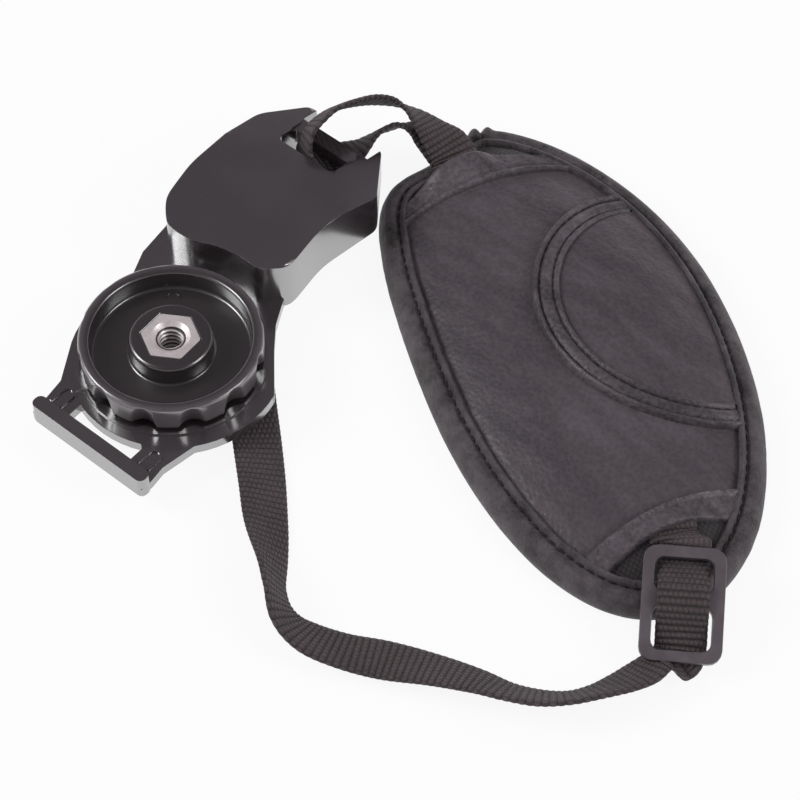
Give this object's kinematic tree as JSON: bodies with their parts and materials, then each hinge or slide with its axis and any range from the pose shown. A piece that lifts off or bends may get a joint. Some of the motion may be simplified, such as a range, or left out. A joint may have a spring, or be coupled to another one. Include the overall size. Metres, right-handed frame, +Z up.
{
  "type": "camera hand grip strap",
  "caption": "Wrist grip for a camera: a tripod plate with a thumb knob, joined by narrow webbing to a padded leather hand rest with a strap slider.",
  "frame": {"origin": "middle of the base at table level, measured without the loose webbing", "axes": "+X along the plate's foot bar, +Y from the foot bar to the strap block, +Z up"},
  "size_m": [0.1592, 0.1394, 0.0224],
  "materials": {
    "black_plastic": "glossy moulded black",
    "foam": "dark grey padding",
    "knob_plastic": "polished moulded black",
    "leather": "fine-grained black",
    "lining_cloth": "black knitted lining",
    "nickel": "warm nickel plate",
    "nylon": "natural nylon",
    "rubber": "black ribbed",
    "slider_plastic": "satin dark grey",
    "spring_steel": "plain stamped steel",
    "suede": "black napped microfibre",
    "webbing": "black ribbed webbing"
  },
  "bodies": {
    "grip": {"base_plate": "black_plastic", "bottom_band": "leather", "edge_binding": "suede", "half_moon_panel": "leather", "knob_washer": "nylon", "leather_face": "leather", "pad_foam": "foam", "pad_lining": "lining_cloth", "rubber_pad": "rubber", "slider": "slider_plastic", "strap_loop": "webbing", "strap_tail": "webbing", "top_band": "leather", "trim_band": "leather"},
    "knob": {"knob": "knob_plastic", "tripod_screw": "nickel", "retaining_clip": "spring_steel"}
  },
  "joints": [
    {"name": "knob_spin", "type": "hinge", "parent": "grip", "child": "knob", "pos_m": [-0.05241, -0.03652, 0.0086], "axis": [0, 0, 1], "continuous": true}
  ]
}
